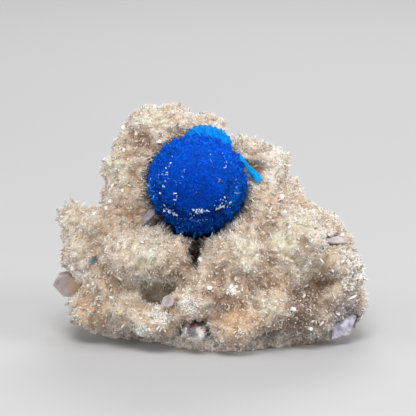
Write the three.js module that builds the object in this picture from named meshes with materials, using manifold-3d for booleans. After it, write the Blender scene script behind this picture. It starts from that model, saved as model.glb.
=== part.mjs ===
// A cavansite rosette on a stilbite crust over basalt: a hand-sized mineral specimen.
// Millimetres, +Z up, -Y is the display side. The specimen stands on the flat foot of its basalt, and
// the origin is the middle of its outline, on the surface that it stands on.
import * as THREE from "three";
import { ImprovedNoise } from "three/addons/math/ImprovedNoise.js";
import { MarchingCubes } from "three/addons/objects/MarchingCubes.js";
import { mergeVertices } from "three/addons/utils/BufferGeometryUtils.js";
import Module from "manifold-3d";

// ---- Driving dimensions ----
const GAP = 0.3; // between two neighbouring pieces

// The rosettes of the ball: the radius is that of the rims, to the middle of their teeth.
const BALL = {
  centre: new THREE.Vector3(-2.7, -5.2, 26.2),
  radius: 7.95,
  facing: new THREE.Vector3(-0.04, -0.91, 0.41).normalize(),
};
const SKIRT = {
  centre: new THREE.Vector3(-2.9, -4.6, 21.8),
  radius: 5.3,
  facing: new THREE.Vector3(0.02, -0.42, -0.91).normalize(),
};
const SIDE_ROSE = {
  centre: new THREE.Vector3(3.3, -5.6, 25.6),
  radius: 2.2,
  facing: new THREE.Vector3(0.86, -0.5, 0).normalize(),
};
const TOOTH = 0.5; // how far a blade's tip stands out of a rosette's rim
const TOOTH_PITCH = 1.9; // along the rim
const LEDGE = 0.75; // how far the ball draws in below its dome, at its lowest
const UNEVEN = { surface: 0.1, teeth: 0.12 }; // how much single blades differ
const SKIRT_DEPTH = 4.3; // from its centre to the crust below it
const BALL_ROOM = 0.58; // from the rims to the pieces around the ball

// The crust's lobes, from top to bottom and left to right: first the display side, then the others.
const LOBES = [
  { at: [-8.7, 3.0, 33.0], radii: [6.4, 4.8, 4.2] }, // crown
  { at: [-6.0, 3.8, 34.0], radii: [2.6, 3.6, 3.2] },
  { at: [-0.8, 3.8, 33.2], radii: [3.2, 3.8, 2.8] },
  { at: [-13.7, 2.0, 30.0], radii: [3.0, 3.8, 3.3] },
  { at: [5.0, 3.2, 29.6], radii: [3.4, 4.0, 3.1] },
  { at: [8.5, 2.4, 28.0], radii: [3.7, 4.2, 3.7] },
  { at: [-15.3, 0.6, 27.4], radii: [3.3, 4.0, 3.3] },
  { at: [-10.4, 0.6, 26.2], radii: [4.2, 4.2, 4.8] },
  { at: [-14.0, -0.4, 23.4], radii: [4.1, 4.3, 3.8] },
  { at: [7.6, 0.0, 22.8], radii: [4.4, 4.7, 3.9] },
  { at: [-22.6, 0.2, 19.7], radii: [2.6, 2.9, 2.4] }, // horn
  { at: [-18.2, -1.0, 18.5], radii: [4.0, 4.2, 3.5] },
  { at: [-13.6, -1.8, 18.6], radii: [4.1, 4.3, 3.9] },
  { at: [8.4, -2.2, 19.6], radii: [4.5, 4.9, 4.3] },
  { at: [12.8, 0.4, 19.7], radii: [4.2, 4.5, 3.4] },
  { at: [17.4, -0.4, 17.8], radii: [3.2, 4.0, 3.1] },
  { at: [-21.2, -1.6, 13.8], radii: [3.5, 4.5, 3.9] },
  { at: [-11.2, -6.4, 14.8], radii: [6.5, 6.1, 5.3] }, // the three big cushions
  { at: [3.3, -7.0, 15.5], radii: [5.8, 5.8, 5.3] },
  { at: [12.5, -4.8, 16.5], radii: [5.9, 5.9, 5.7] },
  { at: [17.6, -4.4, 13.6], radii: [4.2, 4.6, 3.4] },
  { at: [21.8, -2.2, 11.2], radii: [2.7, 4.3, 3.6] },
  { at: [-1.4, -7.2, 10.8], radii: [4.5, 4.4, 4.2] },
  { at: [-17.2, -4.4, 9.2], radii: [3.7, 4.3, 3.4] },
  { at: [2.0, -9.4, 9.2], radii: [3.9, 4.3, 3.4] },
  { at: [-3.8, -10.0, 7.7], radii: [4.1, 4.4, 3.4] },
  { at: [-13.8, -6.0, 6.8], radii: [4.4, 4.7, 4.1] },
  { at: [-9.2, -8.0, 5.0], radii: [4.2, 4.6, 3.3] },
  { at: [-19.6, -2.6, 5.0], radii: [4.1, 4.9, 3.8] },
  { at: [2.9, -9.6, 4.9], radii: [5.0, 4.9, 3.8] },
  { at: [8.8, -8.6, 6.8], radii: [4.4, 4.5, 3.8] },
  { at: [14.4, -5.8, 4.6], radii: [5.2, 5.0, 3.7] },
  { at: [19.2, -3.8, 7.8], radii: [3.9, 4.6, 3.5] },
  { at: [21.0, -2.0, 5.8], radii: [3.5, 4.8, 4.1] },
  { at: [-13.2, -4.0, 3.7], radii: [4.8, 4.3, 3.3] },
  { at: [-13.5, 6.4, 20.0], radii: [5.4, 4.8, 6.2] }, // sides and back
  { at: [-7.8, 8.2, 27.0], radii: [5.6, 4.6, 6.0] },
  { at: [1.8, 8.4, 25.2], radii: [6.0, 4.8, 6.2] },
  { at: [9.6, 6.8, 20.2], radii: [5.6, 5.2, 6.0] },
  { at: [17.2, 5.2, 13.8], radii: [5.4, 5.4, 5.2] },
  { at: [19.0, 5.6, 6.6], radii: [5.6, 6.2, 5.0] },
  { at: [-19.4, 4.6, 12.4], radii: [5.2, 5.4, 5.8] },
  { at: [-18.2, 6.4, 6.2], radii: [5.8, 6.0, 5.0] },
  { at: [-5.6, 11.0, 18.4], radii: [6.8, 4.2, 5.6] },
  { at: [4.8, 11.2, 16.4], radii: [7.0, 4.4, 5.8] },
];

const DISPLAY_LOBES = 35; // the first of them, on the display side

// What fills the middle between the lobes.
const BODY = [
  { at: [0, 1.5, 9.5], radii: [19, 8.5, 9.5] },
  { at: [-3.5, 4.5, 22], radii: [11, 5.5, 11.5] },
  { at: [8, 2.5, 17], radii: [9, 6, 8] },
  { at: [-5.2, -4.2, 14.6], radii: [3.2, 4.2, 4.2] },
  { at: [-17.4, -3.2, 13.4], radii: [3.0, 3.4, 3.8] },
  { at: [10.0, -5.4, 11.2], radii: [5.0, 4.6, 3.6] },
  { at: [-10.6, -1.8, 21.8], radii: [2.6, 2.8, 2.8] },
  { at: [-6.0, -6.2, 16.6], radii: [2.8, 2.8, 2.8] },
  { at: [0.2, -6.4, 16.8], radii: [2.6, 2.8, 2.8] },
];
const CRUST_MIDDLE = new THREE.Vector3(-1, 1, 18);
const CRUST_FACET = 1.87;
const CRUST_CELLS = 40; // across the block around CRUST_MIDDLE in which its surface is worked out
const MOST_TRIANGLES = 20000; // room for the surface in that block
const CRUST_MELT = 0.5; // how softly its lobes run together
const CRUST_DRAW_IN = 0.3; // what running together would otherwise add all over
const CRUST_SWELL = [
  { size: 3.4, height: 0.55 },
  { size: 7, height: 0.7 },
]; // uneven growth, in bumps of this size
const CRUST_ROUGHNESS = 0.35;
const CRUST_LIFT = 0.4; // its lowest crystals stay this far above the table
const BARE_EDGE = { at: [-1.0, -12.0, 0.2], radii: [9.0, 4.6, 1.2] }; // no crust on this rock
const CREVICE = { at: [-2.9, -7.6, 16.2], radii: [0.8, 4.6, 3.4] }; // between two cushions

const BLADE = { width: 1.5, thickness: 0.6, length: 2.6, out: 0.8 }; // a big stilbite crystal
const BLADE_OUTWARD = 1.1; // how much blades keep to the outer side of their lobe
const BLADE_SPLAY = 0.4; // how much they lean away from the radius

// The basalt's foot, counterclockwise from the middle of the display side.
const FOOT = [
  [-1.5, -9.8],
  [5.0, -9.9],
  [10.5, -7.4],
  [16.5, -5.2],
  [20.4, -1.0],
  [22.4, 4.0],
  [19.0, 10.2],
  [10.5, 13.6],
  [1.0, 14.4],
  [-9.5, 13.4],
  [-18.0, 10.0],
  [-21.6, 4.2],
  [-19.6, -0.4],
  [-15.0, -2.6],
  [-9.6, -5.2],
  [-6.2, -7.8],
];
const BASALT_SEGMENTS = 24;
const BASALT_HEIGHT = { front: 3.6, perMillimetre: 0.4 }; // it rises towards the back
const BASALT_STEP = { at: [-2.9, -9.4, 3.7], radii: [2.2, 3.6, 1.9] }; // bare rock among the lobes

// ---- Helpers ----
const wasm = await Module();
wasm.setup();

/** A repeatable source of numbers from 0 to 1 (mulberry32). */
function seeded(seed) {
  let state = seed >>> 0;
  return () => {
    state = (state + 0x6d2b79f5) >>> 0;
    let t = state;
    t = Math.imul(t ^ (t >>> 15), t | 1);
    t ^= t + Math.imul(t ^ (t >>> 7), t | 61);
    return ((t ^ (t >>> 14)) >>> 0) / 4294967296;
  };
}

const between = (random, low, high) => low + (high - low) * random();

/** A direction spread evenly over the sphere. */
function anyDirection(random) {
  const z = between(random, -1, 1);
  const turn = between(random, 0, 2 * Math.PI);
  const r = Math.sqrt(1 - z * z);
  return new THREE.Vector3(r * Math.cos(turn), r * Math.sin(turn), z);
}

/** A geometry with its shared vertices merged and nothing but positions. */
function welded(geometry) {
  const bare = geometry.clone();
  for (const name of Object.keys(bare.attributes)) {
    if (name !== "position") bare.deleteAttribute(name);
  }
  return mergeVertices(bare, 1e-4);
}

/** Moves each vertex of a geometry by move(point, index). */
function reshaped(geometry, move) {
  const position = geometry.getAttribute("position");
  const point = new THREE.Vector3();
  for (let i = 0; i < position.count; i++) {
    move(point.fromBufferAttribute(position, i), i);
    position.setXYZ(i, point.x, point.y, point.z);
  }
  return geometry;
}

/** A closed geometry as a manifold-3d solid. */
function solidOf(geometry) {
  const mesh = welded(geometry);
  const corners = [];
  const index = mesh.index.array;
  for (let i = 0; i < index.length; i += 3) {
    const [a, b, c] = [index[i], index[i + 1], index[i + 2]];
    if (a !== b && b !== c && c !== a) corners.push(a, b, c);
  }
  return new wasm.Manifold(
    new wasm.Mesh({
      numProp: 3,
      vertProperties: mesh.getAttribute("position").array,
      triVerts: new Uint32Array(corners),
    }),
  );
}

/** A solid back as a geometry with flat faces. */
function geometryOf(solid) {
  const mesh = solid.getMesh();
  const geometry = new THREE.BufferGeometry();
  geometry.setAttribute("position", new THREE.BufferAttribute(mesh.vertProperties, 3));
  geometry.setIndex(new THREE.BufferAttribute(mesh.triVerts, 1));
  const flat = geometry.toNonIndexed();
  flat.computeVertexNormals();
  return flat;
}

const joined = (solids) => solids.reduce((whole, solid) => whole.add(solid));
const cutBy = (solid, tools) => tools.reduce((whole, tool) => whole.subtract(tool), solid);

/** The largest body of a solid, without the crumbs that a cut leaves. */
function largest(solid) {
  return solid.decompose().reduce((a, b) => (b.volume() > a.volume() ? b : a));
}

/** Everything below a height, as one large block. */
function belowHeight(height) {
  const far = 80;
  return solidOf(new THREE.BoxGeometry(far, far, far).translate(0, 0, height - far / 2));
}

/** The matrix that stands a piece made along +Z at a point, along a direction, rolled about it. */
function placed(at, direction, roll = 0) {
  const turn = new THREE.Quaternion().setFromUnitVectors(new THREE.Vector3(0, 0, 1), direction);
  const spin = new THREE.Quaternion().setFromAxisAngle(new THREE.Vector3(0, 0, 1), roll);
  return new THREE.Matrix4().compose(at, turn.multiply(spin), new THREE.Vector3(1, 1, 1));
}

// ---- Shapes that repeat ----

/** A body turned about +Z from [radius, height] rows, its vertices moved by move(point, segment, row). */
function turned(rows, segments, move) {
  const profile = rows.map(([radius, height]) => new THREE.Vector2(radius, height));
  const lathe = new THREE.LatheGeometry(profile, segments).rotateX(Math.PI / 2);
  return reshaped(lathe, (point, i) => {
    const row = i % rows.length;
    if (rows[row][0] > 0) move(point, Math.floor(i / rows.length) % segments, row);
  });
}

/** A ball with crystal-like facets: each vertex stands in or out by up to roughness mm. */
function lump({ at, radii }, { detail, roughness, random }) {
  const ball = welded(new THREE.IcosahedronGeometry(1, detail));
  const size = new THREE.Vector3(...radii);
  return reshaped(ball, (point) => {
    const out = point.clone();
    point.multiply(size).addScaledVector(out, between(random, -roughness, roughness));
  }).translate(...at);
}

/** A blade crystal along +Z from the origin: a flat four-sided prism under a pointed tip. */
function blade({ width, thickness, length }) {
  const shoulder = 0.72 * length;
  const profile = [
    [0, 0],
    [1, 0],
    [1, shoulder],
    [0, length],
  ].map(([r, h]) => new THREE.Vector2(r, h));
  return new THREE.LatheGeometry(profile, 4)
    .rotateX(Math.PI / 2)
    .scale(width / 2, thickness / 2, 1);
}

/** A flat crystal plate from its outline, lying in XY with its middle plane at z = 0. */
function plate({ outline, thickness, bevel = 0.12 }, grow = 0) {
  const shape = new THREE.Shape(outline.map(([x, y]) => new THREE.Vector2(x, y)));
  const flat = new THREE.ExtrudeGeometry(shape, {
    depth: thickness - 2 * bevel,
    bevelEnabled: true,
    bevelThickness: bevel,
    bevelSize: bevel,
    bevelOffset: -bevel,
    bevelSegments: 1,
  }).translate(0, 0, bevel - thickness / 2);
  flat.computeBoundingBox();
  const size = flat.boundingBox.getSize(new THREE.Vector3());
  return flat.scale(1 + (2 * grow) / size.x, 1 + (2 * grow) / size.y, 1 + (2 * grow) / size.z);
}

/**
 * A rosette along its facing direction: a smooth dome, then collars that end in sawtooth rims.
 * Each row is [angle from the facing direction in degrees, share of the radius, share of a tooth,
 * share of the ledge]: its lower side draws in by the ledge.
 */
function rosette({ centre, radius, facing }, rows, random) {
  const teeth = Math.round((2 * Math.PI * radius) / TOOTH_PITCH);
  const segments = 2 * teeth;
  const upward = [...rows].reverse();
  const profile = upward.map(([degrees, share]) => {
    const angle = THREE.MathUtils.degToRad(degrees);
    const across = degrees === 0 || degrees === 180 ? 0 : Math.sin(angle);
    return [radius * share * across, radius * share * Math.cos(angle)];
  });
  const wobble = profile.map(() => Array.from({ length: segments }, () => between(random, -1, 1)));
  const ball = turned(profile, segments, (point, segment, row) => {
    const [, share, toothed = 0, ledge = 0] = upward[row];
    const tooth = toothed * (segment % 2 ? -TOOTH : TOOTH / 2);
    const below = Math.max(0, -point.y / Math.hypot(point.x, point.y));
    const drawnIn = LEDGE * ledge * below;
    const out = tooth - drawnIn + (UNEVEN.surface + UNEVEN.teeth * toothed) * wobble[row][segment];
    point.multiplyScalar(1 + out / (radius * share));
  });
  return solidOf(ball.applyMatrix4(placed(centre, facing)));
}

// ---- The cavansite ----

/** The ball: a rosette over a lower, smaller one, with another at its side. */
function cavansiteBall() {
  const random = seeded(23);
  const domeAndCollars = [
    [0, 0.97],
    [20, 0.965],
    [34, 0.96],
    [47, 0.985, 0.4],
    [52, 0.955, 0, 1],
    [61, 0.95, 0, 1],
    [69, 0.985, 0.6, 0.2],
    [76, 0.945, 0, 0.4],
    [90, 1.0, 1, 0.3],
    [97, 0.93],
    [112, 0.98, 1],
    [120, 0.88],
    [155, 0.86],
    [180, 0.86],
  ];
  const deepDish = [
    [0, 0.74],
    [28, 0.78],
    [44, 0.99, 0.8],
    [53, 0.86],
    [70, 0.9, 0.8],
    [82, 0.82],
    [140, 0.84],
    [180, 0.84],
  ];
  const twoCollars = [
    [0, 0.9],
    [30, 0.9],
    [52, 1.0, 1],
    [62, 0.9],
    [80, 1.02, 1],
    [92, 0.9],
    [140, 0.9],
    [180, 0.9],
  ];
  return joined([
    rosette(BALL, domeAndCollars, random),
    rosette(SKIRT, deepDish, random),
    rosette(SIDE_ROSE, twoCollars, random),
  ]);
}

/**
 * Room for the ball in its neighbours: a sphere about each rosette, clear of its teeth. The skirt's
 * ends soon after the plane of its rim, where the crust comes up to it.
 */
function ballSeat() {
  const [ball, skirt, sideRose] = [BALL, SKIRT, SIDE_ROSE].map(({ centre, radius }) =>
    solidOf(new THREE.IcosahedronGeometry(radius + BALL_ROOM, 3).translate(...centre.toArray())),
  );
  const far = 4 * SKIRT.radius;
  const beyond = new THREE.BoxGeometry(far, far, far).translate(0, 0, SKIRT_DEPTH + far / 2);
  const skirtRoom = skirt.subtract(solidOf(beyond.applyMatrix4(placed(SKIRT.centre, SKIRT.facing))));
  return joined([ball, skirtRoom, sideRose]);
}

const FAN = {
  centre: new THREE.Vector3(-1.25, -1.4, 30.7),
  radius: 4.4,
  thickness: 1.8,
  tooth: 0.3,
  toothPitch: 0.9,
  uneven: 0.15, // how much its single tips differ
  facing: new THREE.Vector3(0.1, -0.9, 0.42).normalize(),
};

/** The paler fan of blades that shows above the ball, before the ball's room is cut from it. */
function fanDisc(grow = 0) {
  const random = seeded(31);
  const radius = FAN.radius + grow;
  const half = FAN.thickness / 2 + grow;
  const segments = 2 * Math.round((2 * Math.PI * FAN.radius) / FAN.toothPitch);
  const rows = [
    [0, -half],
    [0.8 * radius, -0.7 * half],
    [radius, 0],
    [0.8 * radius, 0.7 * half],
    [0, half],
  ];
  const tips = Array.from({ length: segments }, () => between(random, -FAN.uneven, FAN.uneven));
  const disc = turned(rows, segments, (point, segment, row) => {
    if (row !== 2) return;
    const tooth = (segment % 2 ? -FAN.tooth : 0) + tips[segment];
    point.multiplyScalar(1 + tooth / radius);
  });
  return solidOf(disc.applyMatrix4(placed(FAN.centre, FAN.facing)));
}

// ---- Single crystals that stand out of the crust ----
const at = (x, y, z) => new THREE.Vector3(x, y, z);
const FLECK = [
  [-0.27, 0.38],
  [-0.2, -0.42],
  [0.22, -0.38],
  [0.28, 0.28],
];

// An outline faces the display side. It leans clockwise, tips back and swings to its left, in degrees.
const CRYSTALS = {
  cavansite_sheaf: {
    centre: at(5.35, -2.2, 28.2),
    outline: [
      [-0.62, 3.1],
      [-0.22, 0.7],
      [-0.6, -2.5],
      [-0.35, -3.15],
      [0.1, -2.9],
      [0.6, -3.2],
      [0.78, -2.6],
      [0.26, 0.7],
      [0.48, 2.9],
      [-0.02, 2.75],
    ],
    thickness: 0.8,
    lean: -38,
    tip: 24,
  },
  cavansite_fleck_left: { centre: at(-19.2, -6.0, 14.0), outline: FLECK, thickness: 0.8, lean: -22 },
  cavansite_fleck_right: {
    centre: at(17.2, -7.7, 16.3),
    outline: FLECK.map(([x, y]) => [0.7 * x, 0.7 * y]),
    thickness: 0.7,
    lean: 40,
  },
  stilbite_plate_left: {
    centre: at(-23.4, -0.6, 8.6),
    outline: [
      [-2.5, 0.1],
      [-1.5, 1.8],
      [0.2, 2.3],
      [2.9, 0.9],
      [2.2, -1.9],
      [-0.9, -1.9],
    ],
    thickness: 1.8,
    bevel: 0.3,
    tip: -14,
    swing: -12,
  },
  stilbite_plate_by_ball: {
    centre: at(-10.4, -4.9, 20.9),
    outline: [
      [-0.55, -1.3],
      [0.4, -1.3],
      [0.65, 0.9],
      [0.1, 1.5],
      [-0.6, 0.9],
    ],
    thickness: 0.7,
    lean: 40,
    tip: 20,
  },
  stilbite_plate_right: {
    centre: at(18.9, -4.6, 16.8),
    outline: [
      [-2.8, 0.3],
      [0.2, 0.6],
      [2.0, 0.8],
      [2.6, -0.2],
      [2.1, -0.8],
      [-0.5, -0.5],
    ],
    thickness: 1.0,
    tip: 30,
    swing: 34,
  },
  stilbite_plate_bright: {
    centre: at(22.6, -4.4, 12.0),
    outline: [
      [-1.1, 1.3],
      [0.1, 1.7],
      [1.1, 0.4],
      [0.8, -1.4],
      [-0.6, -1.6],
    ],
    thickness: 1.0,
    tip: 24,
    swing: 24,
  },
  stilbite_plate_low_right: {
    centre: at(20.6, -5.4, 3.1),
    outline: [
      [-2.4, -1.9],
      [0.9, -1.5],
      [1.3, -0.4],
      [2.4, 1.4],
      [1.5, 2.1],
      [-0.9, 0.7],
      [-2.3, 0.3],
    ],
    thickness: 1.6,
    bevel: 0.3,
    tip: 10,
    swing: 24,
  },
  stilbite_disc_low: {
    centre: at(-7.2, -12.0, 8.9),
    outline: [
      [-0.95, -0.2],
      [-0.75, 0.6],
      [-0.1, 0.98],
      [0.6, 0.78],
      [0.95, 0.1],
      [0.78, -0.6],
      [0.1, -0.95],
      [-0.6, -0.78],
    ],
    thickness: 0.8,
    tip: 14,
    swing: -10,
  },
};

function crystal(name, grow = 0) {
  const { centre, lean = 0, tip = 0, swing = 0, ...form } = CRYSTALS[name];
  const stood = plate(form, grow)
    .rotateZ(THREE.MathUtils.degToRad(-lean))
    .rotateX(THREE.MathUtils.degToRad(90 - tip))
    .rotateZ(THREE.MathUtils.degToRad(swing));
  return solidOf(stood.translate(...centre.toArray()));
}

// ---- The basalt ----

/** The broken rock that the crust grew on, with a flat foot: low in front and high at the back. */
function basalt(grow = 0) {
  const random = seeded(11);
  const rim = new THREE.CatmullRomCurve3(
    FOOT.map(([x, y]) => new THREE.Vector3(x, y, 0)),
    true,
  ).getSpacedPoints(BASALT_SEGMENTS);
  const topAt = (y) => BASALT_HEIGHT.front + BASALT_HEIGHT.perMillimetre * (y - FOOT[0][1]);
  // Each row is a share of the rim and of the height over it; the two ends are points on the axis.
  const rows = [
    [0, 0],
    [0.97, 0],
    [1, 0.3],
    [0.95, 0.62],
    [0.72, 0.86],
    [0.36, 1],
    [0, topAt(0) + grow],
  ];
  const chips = rows.map(() => Array.from(rim, () => between(random, -0.5, 0.5)));
  const rock = turned(rows, BASALT_SEGMENTS, (point, segment, row) => {
    const [share, height] = rows[row];
    const above = height > 0;
    const out = rim[segment].clone().multiplyScalar(share);
    out.setLength(out.length() + grow + (above ? chips[row][segment] : 0));
    point.set(out.x, out.y, height * topAt(out.y) + (above ? grow : 0));
  });
  const { at: stepAt, radii } = BASALT_STEP;
  const step = { at: stepAt, radii: radii.map((radius) => radius + grow) };
  const bare = solidOf(lump(step, { detail: 2, roughness: 0.35, random }));
  return joined([solidOf(rock), bare.subtract(belowHeight(1))]);
}

// ---- The crust ----

/** Roughly how far inside a lobe a point lies, negative outside it. */
function depthIn({ at: centre, radii }, point) {
  const from = point.clone().sub(new THREE.Vector3(...centre));
  const size = new THREE.Vector3(...radii);
  const share = from.divide(size).length();
  return share === 0 ? Math.min(...radii) : (share * (1 - share)) / from.divide(size).length();
}

const noise = new ImprovedNoise();

/** How far inside the crust a point lies: neighbouring lobes melt into each other a little. */
function crustDepth(point) {
  const depths = [...BODY, ...LOBES].map((lobe) => depthIn(lobe, point));
  const sum = depths.reduce((total, depth) => total + Math.exp(depth / CRUST_MELT), 0);
  const swells = CRUST_SWELL.map(
    ({ size, height }) => height * noise.noise(point.x / size, point.y / size, point.z / size),
  );
  return CRUST_MELT * Math.log(sum) + swells.reduce((a, b) => a + b) - CRUST_DRAW_IN;
}

/** The direction in which the crust gets thinnest, at a point near its surface. */
function crustNormal(point) {
  const step = 0.2;
  const steps = [
    new THREE.Vector3(step, 0, 0),
    new THREE.Vector3(0, step, 0),
    new THREE.Vector3(0, 0, step),
  ];
  const slopes = steps.map(
    (way) => crustDepth(point.clone().sub(way)) - crustDepth(point.clone().add(way)),
  );
  return new THREE.Vector3(...slopes).normalize();
}

/** Each vertex of an indexed geometry in the middle of its neighbours. */
function relaxed(geometry) {
  const position = geometry.getAttribute("position");
  const index = geometry.index.array;
  const sums = Array.from({ length: position.count }, () => [new THREE.Vector3(), 0]);
  const corner = new THREE.Vector3();
  for (let i = 0; i < index.length; i++) {
    const next = i % 3 === 2 ? i - 2 : i + 1;
    const sum = sums[index[i]];
    sum[0].add(corner.fromBufferAttribute(position, index[next]));
    sum[1] += 1;
  }
  return reshaped(geometry, (point, i) => point.copy(sums[i][0]).divideScalar(sums[i][1]));
}

/** The crust as one surface of crystal-sized facets around its lobes, still without its hollows. */
function crustBody(random) {
  const cubes = new MarchingCubes(CRUST_CELLS, new THREE.Material(), false, false, MOST_TRIANGLES);
  const spot = new THREE.Vector3();
  for (let i = 0; i < cubes.size3; i++) {
    const column = Math.floor(i / CRUST_CELLS);
    spot.set(i % CRUST_CELLS, column % CRUST_CELLS, Math.floor(column / CRUST_CELLS));
    spot.subScalar(CRUST_CELLS / 2).multiplyScalar(CRUST_FACET).add(CRUST_MIDDLE);
    cubes.field[i] = crustDepth(spot);
  }
  cubes.isolation = 0;
  cubes.update();
  const corners = cubes.positionArray.slice(0, 3 * cubes.count);
  const surface = new THREE.BufferGeometry();
  surface.setAttribute("position", new THREE.BufferAttribute(corners, 3));
  const half = (CRUST_CELLS * CRUST_FACET) / 2;
  const even = relaxed(relaxed(welded(surface.scale(half, half, half))));
  even.translate(...CRUST_MIDDLE.toArray());
  return reshaped(even, (point) => {
    const normal = crustNormal(point);
    point.addScaledVector(normal, crustDepth(point));
    point.addScaledVector(normal, between(random, -CRUST_ROUGHNESS, CRUST_ROUGHNESS));
    point.addScaledVector(anyDirection(random), 0.5 * CRUST_ROUGHNESS);
  });
}

/** A big stilbite blade that grows out of a lobe on its outer side, never downwards. */
function bigBlade(lobe, random) {
  const centre = new THREE.Vector3(...lobe.at);
  const outward = centre.clone().sub(CRUST_MIDDLE).normalize();
  const direction = anyDirection(random).addScaledVector(outward, BLADE_OUTWARD).normalize();
  direction.z = Math.abs(direction.z);
  const surface = direction.clone().multiply(new THREE.Vector3(...lobe.radii));
  const root = centre.clone().add(surface).addScaledVector(direction, BLADE.out - BLADE.length);
  const splay = anyDirection(random).multiplyScalar(BLADE_SPLAY);
  const along = direction.clone().add(splay).normalize();
  return solidOf(blade(BLADE).applyMatrix4(placed(root, along, between(random, 0, Math.PI))));
}

function stilbiteCrust() {
  const random = seeded(7);
  const blades = LOBES.slice(0, DISPLAY_LOBES).map((lobe) => bigBlade(lobe, random));
  const grown = joined([solidOf(crustBody(random)), ...blades]);
  const bare = solidOf(lump(BARE_EDGE, { detail: 2, roughness: 0.3, random }));
  const crevice = solidOf(lump(CREVICE, { detail: 2, roughness: 0.12, random }));
  const neighbours = [belowHeight(CRUST_LIFT), basalt(GAP), ballSeat(), fanDisc(GAP), bare, crevice];
  const pockets = Object.keys(CRYSTALS).map((name) => crystal(name, GAP));
  return largest(cutBy(grown, [...neighbours, ...pockets]));
}

// ---- The specimen ----
const STILBITE = { color: 0xd6c4a6, roughness: 0.45, metalness: 0 };
const PALE_STILBITE = { color: 0xcbbfba, roughness: 0.3, metalness: 0 };
const CAVANSITE = { color: 0x0a3fb4, roughness: 0.35, metalness: 0 };
const PALE_CAVANSITE = { color: 0x0a86f0, roughness: 0.4, metalness: 0 };
const BASALT = { color: 0x4a4140, roughness: 0.9, metalness: 0 };

function piece(name, solid, finish) {
  const mesh = new THREE.Mesh(geometryOf(solid), new THREE.MeshStandardMaterial(finish));
  mesh.name = name;
  return mesh;
}

const specimen = new THREE.Group();
specimen.add(piece("basalt_matrix", basalt(), BASALT));
specimen.add(piece("stilbite_crust", stilbiteCrust(), STILBITE));
specimen.add(piece("cavansite_ball", cavansiteBall(), CAVANSITE));
specimen.add(piece("cavansite_fan", largest(fanDisc().subtract(ballSeat())), PALE_CAVANSITE));
for (const name of Object.keys(CRYSTALS)) {
  const finish = name.startsWith("cavansite") ? PALE_CAVANSITE : PALE_STILBITE;
  specimen.add(piece(name, crystal(name), finish));
}

// Its outline is centred over the origin.
const outline = new THREE.Box3().setFromObject(specimen);
const middle = outline.getCenter(new THREE.Vector3());
specimen.position.set(-middle.x, -middle.y, -outline.min.z);

export default specimen;
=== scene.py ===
"""Looks for a cavansite rosette on a stilbite crust over basalt.

Lengths are in millimetres, and times MM where Blender needs metres.
"""

import math

import bpy
import numpy as np
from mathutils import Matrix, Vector
from mathutils.bvhtree import BVHTree


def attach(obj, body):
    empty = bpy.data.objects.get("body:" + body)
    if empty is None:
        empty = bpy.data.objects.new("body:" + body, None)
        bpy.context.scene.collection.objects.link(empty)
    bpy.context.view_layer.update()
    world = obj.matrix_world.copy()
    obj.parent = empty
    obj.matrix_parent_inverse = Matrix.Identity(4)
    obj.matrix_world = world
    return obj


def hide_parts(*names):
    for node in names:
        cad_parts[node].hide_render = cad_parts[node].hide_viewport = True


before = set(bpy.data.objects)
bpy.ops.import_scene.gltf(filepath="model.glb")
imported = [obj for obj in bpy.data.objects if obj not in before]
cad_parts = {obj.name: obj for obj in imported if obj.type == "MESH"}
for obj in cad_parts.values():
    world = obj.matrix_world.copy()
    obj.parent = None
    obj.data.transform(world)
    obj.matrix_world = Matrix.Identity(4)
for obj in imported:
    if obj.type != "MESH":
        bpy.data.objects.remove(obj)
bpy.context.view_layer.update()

MM = 0.001  # metres
# Places are given as in the part's source, which is centred afterwards.
SHIFT = np.array([0.83, -0.43, 0.0])

# The display view. A place in it is given as to the right of its middle and above it.
AIM = np.array([-0.15, 0.0, 21.0])
ELEVATION = math.radians(13)
DISTANCE = 420.0
VIEW_RIGHT = np.array([1.0, 0.0, 0.0])
VIEW_UP = np.array([0.0, math.sin(ELEVATION), math.cos(ELEVATION)])
VIEW_BACK = np.array([0.0, -math.cos(ELEVATION), math.sin(ELEVATION)])
EYE = AIM + VIEW_BACK * DISTANCE
KEY_AT = (-0.02, -0.23, 0.42)  # metres


def srgb(red, green, blue):
    """A colour given as 0 to 255 display values, as the linear values that Blender mixes."""
    share = np.array([red, green, blue]) / 255
    return np.where(share <= 0.04045, share / 12.92, ((share + 0.055) / 1.055) ** 2.4)


CREAM = srgb(222, 211, 192)
TAN = srgb(205, 178, 150)
BROWN = srgb(134, 98, 70)
LILAC = srgb(196, 180, 178)
GREENISH = srgb(230, 225, 201)
WHITE = srgb(255, 249, 240)
ORANGE = srgb(206, 158, 108)
RUSTY = srgb(232, 158, 96)
UMBER_LILAC = srgb(98, 76, 62)
GREY_LILAC = srgb(120, 108, 110)
CREVICE_SHADE = srgb(90, 48, 26)
VALLEY_SHADE = srgb(140, 110, 90)

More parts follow.
